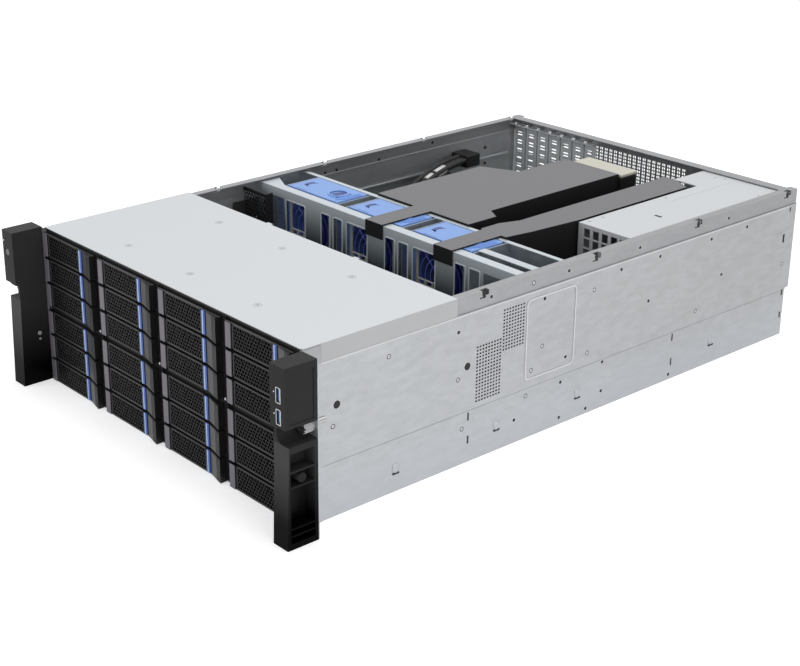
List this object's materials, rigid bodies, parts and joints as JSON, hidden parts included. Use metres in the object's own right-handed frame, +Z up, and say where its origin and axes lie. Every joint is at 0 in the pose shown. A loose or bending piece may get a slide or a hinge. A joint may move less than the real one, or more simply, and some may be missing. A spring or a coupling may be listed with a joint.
{
  "type": "rack server",
  "caption": "Four-unit rack server chassis with its rear lid off: hot-swap drive bays, fan wall, air ducts, slot brackets and rack ears with grip handles.",
  "frame": {"origin": "centre of the underside's bounding rectangle", "axes": "+X to the right seen from the front, +Y to the rear, +Z up"},
  "size_m": [0.4826, 0.7656, 0.1756],
  "materials": {
    "galvanised": "zinc-coated sheet, satin",
    "cover_paint": "light grey, fine satin",
    "cage_black": "black, satin",
    "carrier": "black, matt",
    "board": "green laminate",
    "ear_plastic": "black, semi-gloss",
    "button": "clear white, gloss",
    "bright_metal": "nickel, bright",
    "screw_steel": "nickel plated",
    "fan_blue": "mid blue, satin",
    "rotor": "dark blue",
    "duct": "dark grey film",
    "supply": "plated steel case",
    "sink": "milled",
    "cable": "black woven sleeve"
  },
  "bodies": {
    "chassis": {"base_pan": "galvanised", "side_panel_left": "galvanised", "side_panel_right": "galvanised", "rear_panel": "galvanised", "slot_covers": "galvanised", "fan_wall": "galvanised", "fan_cage": "galvanised", "power_cage": "galvanised", "front_cover": "cover_paint", "lower_drive_cage": "cage_black", "upper_drive_cage": "cage_black", "backplane": "board", "main_board": "board", "memory_modules": "board", "ear_left": "ear_plastic", "ear_right": "ear_plastic", "usb_ports": "bright_metal", "rear_ports": "bright_metal", "fan_module_2": "fan_blue", "fan_module_3": "fan_blue", "air_duct_main": "duct", "air_duct_side": "duct", "heat_sinks": "sink", "drive_cables": "cable"},
    "drive_1_1": {"drive_carrier_1_1": "carrier"},
    "drive_1_2": {"drive_carrier_1_2": "carrier"},
    "drive_1_3": {"drive_carrier_1_3": "carrier"},
    "drive_1_4": {"drive_carrier_1_4": "carrier"},
    "drive_1_5": {"drive_carrier_1_5": "carrier"},
    "drive_1_6": {"drive_carrier_1_6": "carrier"},
    "drive_2_1": {"drive_carrier_2_1": "carrier"},
    "drive_2_2": {"drive_carrier_2_2": "carrier"},
    "drive_2_3": {"drive_carrier_2_3": "carrier"},
    "drive_2_4": {"drive_carrier_2_4": "carrier"},
    "drive_2_5": {"drive_carrier_2_5": "carrier"},
    "drive_2_6": {"drive_carrier_2_6": "carrier"},
    "drive_3_1": {"drive_carrier_3_1": "carrier"},
    "drive_3_2": {"drive_carrier_3_2": "carrier"},
    "drive_3_3": {"drive_carrier_3_3": "carrier"},
    "drive_3_4": {"drive_carrier_3_4": "carrier"},
    "drive_3_5": {"drive_carrier_3_5": "carrier"},
    "drive_3_6": {"drive_carrier_3_6": "carrier"},
    "drive_4_1": {"drive_carrier_4_1": "carrier"},
    "drive_4_2": {"drive_carrier_4_2": "carrier"},
    "drive_4_3": {"drive_carrier_4_3": "carrier"},
    "drive_4_4": {"drive_carrier_4_4": "carrier"},
    "drive_4_5": {"drive_carrier_4_5": "carrier"},
    "drive_4_6": {"drive_carrier_4_6": "carrier"},
    "power_button": {"power_button": "button"},
    "rack_screw_left": {"thumbscrew_left": "screw_steel"},
    "rack_screw_right": {"thumbscrew_right": "screw_steel"},
    "fan_1": {"fan_module_1": "fan_blue"},
    "rotor_1_1": {"fan_rotor_1_1": "rotor"},
    "rotor_1_2": {"fan_rotor_1_2": "rotor"},
    "rotor_2_1": {"fan_rotor_2_1": "rotor"},
    "rotor_2_2": {"fan_rotor_2_2": "rotor"},
    "rotor_3_1": {"fan_rotor_3_1": "rotor"},
    "rotor_3_2": {"fan_rotor_3_2": "rotor"},
    "supply_1": {"power_supply_1": "supply"},
    "supply_2": {"power_supply_2": "supply"}
  },
  "joints": [
    {"name": "drive_1_1_pull", "type": "slide", "parent": "chassis", "child": "drive_1_1", "axis": [0, -1, 0], "range_m": [0, 0.16]},
    {"name": "drive_1_2_pull", "type": "slide", "parent": "chassis", "child": "drive_1_2", "axis": [0, -1, 0], "range_m": [0, 0.16]},
    {"name": "drive_1_3_pull", "type": "slide", "parent": "chassis", "child": "drive_1_3", "axis": [0, -1, 0], "range_m": [0, 0.16]},
    {"name": "drive_1_4_pull", "type": "slide", "parent": "chassis", "child": "drive_1_4", "axis": [0, -1, 0], "range_m": [0, 0.16]},
    {"name": "drive_1_5_pull", "type": "slide", "parent": "chassis", "child": "drive_1_5", "axis": [0, -1, 0], "range_m": [0, 0.16]},
    {"name": "drive_1_6_pull", "type": "slide", "parent": "chassis", "child": "drive_1_6", "axis": [0, -1, 0], "range_m": [0, 0.16]},
    {"name": "drive_2_1_pull", "type": "slide", "parent": "chassis", "child": "drive_2_1", "axis": [0, -1, 0], "range_m": [0, 0.16]},
    {"name": "drive_2_2_pull", "type": "slide", "parent": "chassis", "child": "drive_2_2", "axis": [0, -1, 0], "range_m": [0, 0.16]},
    {"name": "drive_2_3_pull", "type": "slide", "parent": "chassis", "child": "drive_2_3", "axis": [0, -1, 0], "range_m": [0, 0.16]},
    {"name": "drive_2_4_pull", "type": "slide", "parent": "chassis", "child": "drive_2_4", "axis": [0, -1, 0], "range_m": [0, 0.16]},
    {"name": "drive_2_5_pull", "type": "slide", "parent": "chassis", "child": "drive_2_5", "axis": [0, -1, 0], "range_m": [0, 0.16]},
    {"name": "drive_2_6_pull", "type": "slide", "parent": "chassis", "child": "drive_2_6", "axis": [0, -1, 0], "range_m": [0, 0.16]},
    {"name": "drive_3_1_pull", "type": "slide", "parent": "chassis", "child": "drive_3_1", "axis": [0, -1, 0], "range_m": [0, 0.16]},
    {"name": "drive_3_2_pull", "type": "slide", "parent": "chassis", "child": "drive_3_2", "axis": [0, -1, 0], "range_m": [0, 0.16]},
    {"name": "drive_3_3_pull", "type": "slide", "parent": "chassis", "child": "drive_3_3", "axis": [0, -1, 0], "range_m": [0, 0.16]},
    {"name": "drive_3_4_pull", "type": "slide", "parent": "chassis", "child": "drive_3_4", "axis": [0, -1, 0], "range_m": [0, 0.16]},
    {"name": "drive_3_5_pull", "type": "slide", "parent": "chassis", "child": "drive_3_5", "axis": [0, -1, 0], "range_m": [0, 0.16]},
    {"name": "drive_3_6_pull", "type": "slide", "parent": "chassis", "child": "drive_3_6", "axis": [0, -1, 0], "range_m": [0, 0.16]},
    {"name": "drive_4_1_pull", "type": "slide", "parent": "chassis", "child": "drive_4_1", "axis": [0, -1, 0], "range_m": [0, 0.16]},
    {"name": "drive_4_2_pull", "type": "slide", "parent": "chassis", "child": "drive_4_2", "axis": [0, -1, 0], "range_m": [0, 0.16]},
    {"name": "drive_4_3_pull", "type": "slide", "parent": "chassis", "child": "drive_4_3", "axis": [0, -1, 0], "range_m": [0, 0.16]},
    {"name": "drive_4_4_pull", "type": "slide", "parent": "chassis", "child": "drive_4_4", "axis": [0, -1, 0], "range_m": [0, 0.16]},
    {"name": "drive_4_5_pull", "type": "slide", "parent": "chassis", "child": "drive_4_5", "axis": [0, -1, 0], "range_m": [0, 0.16]},
    {"name": "drive_4_6_pull", "type": "slide", "parent": "chassis", "child": "drive_4_6", "axis": [0, -1, 0], "range_m": [0, 0.16]},
    {"name": "power_press", "type": "slide", "parent": "chassis", "child": "power_button", "axis": [0, 1, 0], "range_m": [0, 0.0015], "stiffness_N_per_m": 400},
    {"name": "rack_screw_left_turn", "type": "hinge", "parent": "chassis", "child": "rack_screw_left", "pos_m": [-0.23255, -0.3518, 0.1111], "axis": [0, -1, 0], "continuous": true},
    {"name": "rack_screw_right_turn", "type": "hinge", "parent": "chassis", "child": "rack_screw_right", "pos_m": [0.23255, -0.3518, 0.1111], "axis": [0, -1, 0], "continuous": true},
    {"name": "fan_1_lift", "type": "slide", "parent": "chassis", "child": "fan_1", "axis": [0, 0, 1], "range_m": [0, 0.18]},
    {"name": "rotor_1_1_spin", "type": "hinge", "parent": "fan_1", "child": "rotor_1_1", "pos_m": [-0.134, -0.0258, 0.04372], "axis": [0, -1, 0], "continuous": true},
    {"name": "rotor_1_2_spin", "type": "hinge", "parent": "fan_1", "child": "rotor_1_2", "pos_m": [-0.134, -0.0258, 0.12857], "axis": [0, -1, 0], "continuous": true},
    {"name": "rotor_2_1_spin", "type": "hinge", "parent": "chassis", "child": "rotor_2_1", "pos_m": [-0.027, -0.0258, 0.04372], "axis": [0, -1, 0], "continuous": true},
    {"name": "rotor_2_2_spin", "type": "hinge", "parent": "chassis", "child": "rotor_2_2", "pos_m": [-0.027, -0.0258, 0.12857], "axis": [0, -1, 0], "continuous": true},
    {"name": "rotor_3_1_spin", "type": "hinge", "parent": "chassis", "child": "rotor_3_1", "pos_m": [0.08, -0.0258, 0.04372], "axis": [0, -1, 0], "continuous": true},
    {"name": "rotor_3_2_spin", "type": "hinge", "parent": "chassis", "child": "rotor_3_2", "pos_m": [0.08, -0.0258, 0.12857], "axis": [0, -1, 0], "continuous": true},
    {"name": "supply_1_pull", "type": "slide", "parent": "chassis", "child": "supply_1", "axis": [0, 1, 0], "range_m": [0, 0.18]},
    {"name": "supply_2_pull", "type": "slide", "parent": "chassis", "child": "supply_2", "axis": [0, 1, 0], "range_m": [0, 0.18]}
  ]
}
